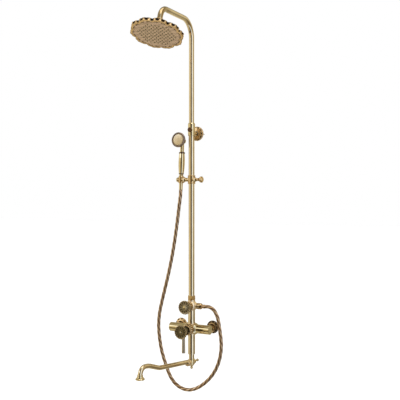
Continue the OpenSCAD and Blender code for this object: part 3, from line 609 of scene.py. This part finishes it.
piece("mixer_neck", "column", "brass_ornate",
      *leafy_collar([(17.55, 27), (21, 26.2), (23.6, 28), (24, 31), (24, 36), (22.6, 39.5),
                     (20, 41.5), (21, 44), (21, 47), (19.4, 49.8), (17.7, 50), (17.7, 33.2),
                     (12.2, 33), (12.2, 30.1), (17.55, 30), (17.55, 27)], 18, 28, 47, 2.6),
      place=MM @ KNOB, replaces=("mixer_collar",))
piece("diverter_neck", "column", "brass_ornate",
      *leafy_collar([(12.1, 23.2), (17.5, 23), (20.2, 24.6), (21, 28), (20.6, 33), (18.4, 37),
                     (18, 39), (19.6, 42), (20, 45.5), (18.6, 49), (17, 50), (4.7, 50),
                     (4.7, 26.2), (12.1, 26), (12.1, 23.2)], 16, 24.5, 47, 2.4),
      place=MM @ DIVERTER_KNOB, replaces=("diverter_collar",))

# ---------------------------------------------------------------- rain head

HEAD_R = 106
LOBES, LOBE_DEPTH = 10, 9
SCALLOPS, SCALLOP_DEPTH = 3, 2.2
NECK_R, NECK_SHARE = 38, 0.4  # where the shell's round neck meets its leaves
FIELD_R, FIELD_SHARE = 78, 0.815  # the round field of nozzles inside the border


def head_edge(angle, inset=0.0):
    """The outline's radius, and how deep in a notch and in a scallop it is there."""
    notch = lobed_wave(angle, LOBES, 0.8)
    scallop = lobed_wave(angle, LOBES * SCALLOPS)
    return HEAD_R - inset - LOBE_DEPTH * notch - SCALLOP_DEPTH * scallop, notch, scallop


def head_shell():
    """The back and the rim of the head. A row is a radius on the neck, or a share of the way to
    the lobed outline, then its height, how fluted it is, its inset and how dark it is."""
    around = 960
    rows = []

    def row(share, height, flute=0.0, inset=0.0, dark=0.0):
        rows.append((share, height, flute, inset, dark))
    for r, z in [(16.5, 55.2), (16.5, 60.5), (17.6, 62.6), (20, 64.6), (24, 66.2), (30, 67.4),
                 (NECK_R, 68.6)]:
        row(r, z)
    for share, z in [(0.44, 69.4), (0.52, 70.2), (0.6, 71), (0.68, 71.7), (0.75, 72.2),
                     (0.8, 72.5), (0.85, 72.8), (0.88, 72.9), (0.91, 73.1), (0.94, 73.2),
                     (0.965, 73.3), (0.985, 73.6)]:
        row(share, z)
    for z, flute in [(74.2, 0.2), (75, 0.8), (76, 1), (78, 1), (80, 1), (82, 1), (83.4, 0.85),
                     (84.2, 0.4), (85, 0.1)]:
        row(1.0, z, flute)
    row(1.0, 85.6, 0, 0.3)
    row(1.0, 86, 0, 1.0)
    row(1.0, 86, 0, 2.1, 0.2)
    row(1.0, 85, 0, 2.4, 0.9)
    row(1.0, 75, 0, 2.4, 0.9)
    points, grooves = [], []
    for share, z, flute, inset, dark in rows:
        for k in range(around):
            angle = 2 * math.pi * k / around
            edge, notch, scallop = head_edge(angle)
            sink = 0.0
            if share > 1:
                radius = share
                groove = 0.55 * pulse(share, 19, 30, 3) * (0.5 + 0.5 * math.cos(angle * 20)) ** 2
            elif share < 1:
                radius = NECK_R + (edge - NECK_R) * (share - NECK_SHARE) / (1 - NECK_SHARE)
                leaf = pulse(share, 0.62, 0.92, 0.08)
                sink = 0.7 * leaf * lobed_wave(angle, LOBES) ** 0.8
                ring_line = pulse(share, 0.585, 0.595, 0.02) + pulse(share, 0.945, 0.95, 0.012)
                groove = min(1, 0.7 * leaf * notch ** 1.5 + 0.75 * min(ring_line, 1))
            else:
                bite = scallop ** 0.55
                radius = edge - inset - flute * (1.1 + 1.9 * bite)
                groove = min(1, dark + flute * bite * 1.15)
            points.append((radius * math.cos(angle), radius * math.sin(angle), z + sink))
            grooves.append(groove)
    return points, skin(len(rows), around), grooves


PLATE_ROWS = [(0.0, 85.05, 0), (0.25, 85.1, 0), (0.5, 85.15, 0), (0.7, 85.2, 0), (0.8, 85.2, 0),
              (0.86, 85.3, 0), (0.92, 85.2, 0), (0.935, 84.6, 0.8)]
BORDER_ROWS = [(0.925, 84.4, 1.0), (0.93, 85.2, 0.2), (0.94, 85.6, 0), (0.965, 85.9, 0),
               (0.985, 85.7, 0), (1.0, 85.3, 0.1), (1.0, 84, 0.4)]


def head_plate(rows):
    """Part of the face: the plain field of the nozzles, or the border that follows the lobes."""
    around = 480
    points, grooves = [], []
    for share, z, dark in rows:
        for k in range(around):
            angle = 2 * math.pi * k / around
            edge = head_edge(angle, 2.6)[0]
            radius = max(FIELD_R / FIELD_SHARE * share if share < 0.8 else edge * share, 0.02)
            points.append((radius * math.cos(angle), radius * math.sin(angle), z))
            grooves.append(dark)
    return points, skin(len(rows), around), grooves


def wire(line, radius, around=8, taper=0.35):
    """A round wire along points, thinner at its ends."""
    x = [Vector(p) for p in line]
    points, n = [], len(x)
    for i in range(n):
        ahead = (x[min(i + 1, n - 1)] - x[max(i - 1, 0)]).normalized()
        side = ahead.cross(Vector((0, 0, 1))).normalized()
        over = side.cross(ahead)
        r = radius * (taper + (1 - taper) * math.sin(math.pi * (i + 0.5) / n) ** 0.5)
        for k in range(around):
            a = 2 * math.pi * k / around
            points.append(tuple(x[i] + r * (math.cos(a) * side + math.sin(a) * over)))
    faces = skin(n, around) + [cap[::-1] for cap in end_caps(n, around)]
    return points, faces, [0.0] * len(points)


def scrolls():
    """Two mirrored C scrolls on each lobe of the head's rim, and a small drop between lobes."""
    parts = []
    for lobe in range(LOBES):
        turn = spin(360 / LOBES * lobe, "Z")
        for side in (-1, 1):
            line = []
            for t in np.linspace(0, 1, 30):
                swirl = 5.6 * t + 0.6
                r = 5.0 * (1 - 0.78 * t)
                line.append((91.5 + r * math.cos(swirl), side * (8.2 + r * math.sin(swirl)), 85.5))
            parts.append(moved(wire(line, 0.75), turn))
            stalk = [(93.0 - 8 * t, side * (13.0 + 9.0 * t), 85.4) for t in np.linspace(0, 1, 10)]
            parts.append(moved(wire(stalk, 0.7), turn))
        bud = turned([(0.001, 85), (1.8, 85.1), (1.5, 85.7), (0.001, 85.9)], 16, None, 0.3)
        parts.append(moved(bud, turn @ shift(98.2, 0, 0)))
    return joined(*parts)


def nozzle_places(pitch=14.5, rings=5):
    """The nozzles' places, in hexagonal rings round the middle."""
    places = [(0.0, 0.0)]
    for ring in range(1, rings + 1):
        for side in range(6):
            a, b = math.radians(60 * side), math.radians(60 * side + 120)
            for step in range(ring):
                places.append((pitch * (ring * math.cos(a) + step * math.cos(b)),
                               pitch * (ring * math.sin(a) + step * math.sin(b))))
    return places


piece("rain_shell", "rain_head", "brass_ornate", *head_shell(), place=MM @ HEAD,
      replaces=("head_shell",), crease=50)
piece("rain_plate", "rain_head", "spray_plate", *head_plate(PLATE_ROWS), place=MM @ HEAD,
      replaces=("head_face",))
piece("rain_border", "rain_head", "brass_ornate", *head_plate(BORDER_ROWS), place=MM @ HEAD)
piece("rain_scrolls", "rain_head", "screw_face", *scrolls(), place=MM @ HEAD)
nozzle_cup = turned([(2.1, 84.6), (3.9, 85.0), (3.7, 85.7), (2.9, 86), (2.1, 85.7)], 16,
                    lambda a, r, h: (r, h, 0.9 if r > 3.75 else 0.0), 0.2, 1)
nozzle_tip = turned([(2.15, 84.6), (1.95, 86), (1.5, 86.9), (0.85, 87), (0.8, 86.3),
                     (0.001, 86.2)], 12, None, 0.2, 1)
piece("rain_nozzle_cups", "rain_head", "brass_bar",
      *joined(*[moved(nozzle_cup, shift(x, y, 0)) for x, y in nozzle_places()]),
      place=MM @ HEAD)
piece("rain_nozzles", "rain_head", "rubber",
      *joined(*[moved(nozzle_tip, shift(x, y, 0)) for x, y in nozzle_places()]),
      place=MM @ HEAD, replaces=("head_nozzles",))

# ---------------------------------------------------------------- hand shower face

hand_plate_outline = [(0.001, -0.4), (8, -0.45), (16, -0.65), (22, -0.95), (24.6, -1.2),
                      (25.3, -1.6), (25.9, -1.8), (25.9, -3)]
piece("hand_plate", "handset", "handset_plate",
      *turned(hand_plate_outline, 96,
              lambda a, r, h: (r, h - 0.35 * pulse(r, 23.2, 23.5, 0.5),
                               0.8 * pulse(r, 23.2, 23.5, 0.5) + 0.9 * (r > 25.5)),
              0.3, 2, fine=1.0),
      place=MM @ HAND_HEAD, replaces=("handset_face",))
jets = []  # rings of holes; the even rings start half a step round
for count, radius in ((1, 0), (6, 4.6), (12, 9.2), (18, 13.8), (24, 18.2), (30, 21.4)):
    for k in range(count):
        a = 2 * math.pi * (k + 0.5 * (count % 4 == 0)) / count
        jets.append((radius * math.cos(a), radius * math.sin(a)))
hand_jet = turned([(1.0, -1.4), (0.9, -0.35), (0.55, 0.0), (0.3, 0.0), (0.25, -0.4),
                   (0.001, -0.5)], 10, lambda a, r, h: (r, h, 1.0 if r < 0.5 else 0.35), 0.1, 1)
piece("hand_jets", "handset", "handset_plate",
      *joined(*[moved(hand_jet, shift(x, y, -0.15 - (x * x + y * y) ** 0.5 * 0.03))
                for x, y in jets]),
      place=MM @ HAND_HEAD)

# ---------------------------------------------------------------- room and light

FLOOR_Z = -0.95
HALF = 30.0
floor_mesh = bpy.data.meshes.new("floor")
floor_mesh.from_pydata([(-HALF, -HALF, FLOOR_Z), (HALF, -HALF, FLOOR_Z), (HALF, HALF, FLOOR_Z),
                        (-HALF, HALF, FLOOR_Z)], [], [(0, 1, 2, 3)])
floor = bpy.data.objects.new("floor", floor_mesh)
bpy.context.scene.collection.objects.link(floor)
paint = Nodes("floor_paint")
floor_tone = paint.mix(paint.noise(1.5), (0.96, 0.96, 0.96), (0.94, 0.94, 0.94))
paint.link(floor_tone, paint.shader.inputs["Base Color"])
paint.link(floor_tone, paint.shader.inputs["Emission Color"])
paint.shader.inputs["Emission Strength"].default_value = 0.12
paint.shader.inputs["Roughness"].default_value = 0.9
floor_mesh.materials.append(paint.material)
floor.visible_glossy = False


def area(name, place, aim, size, power):
    """A soft rectangular light."""
    light = bpy.data.lights.new(name, "AREA")
    light.shape = "RECTANGLE"
    light.size, light.size_y = size
    light.energy = power
    obj = bpy.data.objects.new(name, light)
    obj.location = place
    obj.rotation_euler = (Vector(aim) - Vector(place)).to_track_quat("-Z", "Y").to_euler()
    bpy.context.scene.collection.objects.link(obj)
    return obj


key = area("key", (-1.6, -2.2, 2.4), (0, -0.1, 0.5), (1.2, 1.6), 30)
key.visible_glossy = False
area("top", (0.3, -0.6, 3.2), (0, -0.2, 0.5), (2.0, 2.0), 30)

# The studio is white to the camera and to matt surfaces. In reflections it is a ring of tinted
# screens with dark gaps, so that tubes show long bright and dark bands.
world = bpy.data.worlds.new("studio")
bpy.context.scene.world = world
world.use_nodes = True
tree = world.node_tree
tree.nodes.clear()


def world_node(kind, **values):
    """A node of the world's tree with these settings."""
    node = tree.nodes.new(kind)
    for key, value in values.items():
        setattr(node, key, value)
    return node


def world_math(kind, a, b=0.0):
    node = world_node("ShaderNodeMath", operation=kind)
    for socket, value in zip(node.inputs, (a, b)):
        if hasattr(value, "links"):
            tree.links.new(value, socket)
        else:
            socket.default_value = value
    return node.outputs[0]


def world_ramp(value, stops):
    """Levels by position, 0 to 1, with straight lines between."""
    node = world_node("ShaderNodeValToRGB")
    ramp = node.color_ramp
    while len(ramp.elements) < len(stops):
        ramp.elements.new(0.5)
    for element, (where, level) in zip(ramp.elements, stops):
        element.position = where
        element.color = (*level, 1) if isinstance(level, tuple) else (level, level, level, 1)
    tree.links.new(value, node.inputs[0])
    return node.outputs[0]


# Both shares run from 0 to 1: round the studio, with the camera's side at 0.5, and from straight
# down to straight up.
STUDIO_LEVEL = 2.3
direction = world_node("ShaderNodeTexCoord").outputs["Generated"]
turn = world_node("ShaderNodeMapping", vector_type="POINT")
turn.inputs["Rotation"].default_value = (0, 0, math.radians(-CAMERA_TURN))
tree.links.new(direction, turn.inputs["Vector"])
split = world_node("ShaderNodeSeparateXYZ")
tree.links.new(turn.outputs[0], split.inputs[0])
bearing = world_math("ARCTAN2", split.outputs["X"],
                     world_math("MULTIPLY", split.outputs["Y"], -1.0))
around_share = world_math("ADD", world_math("DIVIDE", bearing, 2 * math.pi), 0.5)
height_share = world_math("ADD", world_math("MULTIPLY", split.outputs["Z"], 0.5), 0.5)
CREAM, PEARL, WHITE = (0.50, 0.48, 0.37), (0.62, 0.62, 0.54), (0.80, 0.95, 1.22)
STRAW, HONEY, GOLD = (0.46, 0.42, 0.29), (0.38, 0.33, 0.22), (0.35, 0.30, 0.20)
UMBER = (0.035, 0.022, 0.012)
round_levels = world_ramp(around_share, [
    (0.0, CREAM), (0.16, CREAM), (0.22, PEARL), (0.30, PEARL), (0.34, STRAW), (0.41, HONEY),
    (0.43, UMBER), (0.525, UMBER), (0.55, WHITE), (0.64, WHITE), (0.67, GOLD), (0.79, GOLD),
    (0.84, CREAM), (1.0, CREAM)])


def screen(base, bearings, heights):
    """Levels by height laid over the ones so far, within a range of bearings."""
    node = world_node("ShaderNodeMix", data_type="RGBA")
    tree.links.new(world_ramp(around_share, bearings), node.inputs[0])
    tree.links.new(base, node.inputs[6])
    tree.links.new(world_ramp(height_share, heights), node.inputs[7])
    return node.outputs[2]


# By height: the plain back of the studio, then a screen over the whole front, one with a dark
# gap low down and a bright cool strip above for the bar, and one that is dark low down.
STRIP = (1.7, 2.05, 3.3)
height_levels = world_ramp(height_share, [
    (0.0, 0.45), (0.12, 0.62), (0.35, 0.74), (0.58, 0.76), (0.72, 0.42), (1.0, 0.32)])
height_levels = screen(
    height_levels, [(0.15, 0.0), (0.22, 1.0), (0.78, 1.0), (0.85, 0.0)], [
        (0.0, 0.6), (0.1, 0.6), (0.2, 0.5), (0.3, 0.5), (0.38, 0.7), (0.62, 0.78), (0.74, 0.9),
        (0.85, 0.7), (0.94, 0.5), (1.0, 0.5)])
height_levels = screen(
    height_levels, [(0.22, 0.0), (0.27, 1.0), (0.39, 1.0), (0.42, 0.0)], [
        (0.0, 0.6), (0.2, 0.55), (0.25, 0.03), (0.36, 0.03), (0.395, 0.7), (0.61, 0.78),
        (0.65, STRIP), (0.76, STRIP), (0.81, 0.5), (0.86, 0.36), (0.94, 0.4), (1.0, 0.5)])
height_levels = screen(
    height_levels, [(0.66, 0.0), (0.7, 1.0), (0.86, 1.0), (0.9, 0.0)], [
        (0.0, 0.3), (0.3, 0.3), (0.42, 0.42), (0.48, 0.68), (0.62, 0.78), (0.74, 0.9),
        (0.85, 0.7), (0.94, 0.5), (1.0, 0.5)])
studio = world_node("ShaderNodeMix", data_type="RGBA", blend_type="MULTIPLY")
studio.inputs[0].default_value = 1.0
tree.links.new(round_levels, studio.inputs[6])
tree.links.new(height_levels, studio.inputs[7])
path = world_node("ShaderNodeLightPath")
glossy = path.outputs["Is Glossy Ray"]
tint = world_node("ShaderNodeMix", data_type="RGBA")
tree.links.new(glossy, tint.inputs[0])
tint.inputs[6].default_value = (1, 1, 1, 1)
tree.links.new(studio.outputs[2], tint.inputs[7])
background = world_node("ShaderNodeBackground")
tree.links.new(tint.outputs[2], background.inputs["Color"])
tree.links.new(world_math("ADD", world_math("MULTIPLY", glossy, STUDIO_LEVEL - 1), 1.0),
               background.inputs["Strength"])
output = world_node("ShaderNodeOutputWorld")
tree.links.new(background.outputs[0], output.inputs[0])
bpy.context.scene.view_settings.view_transform = "Standard"
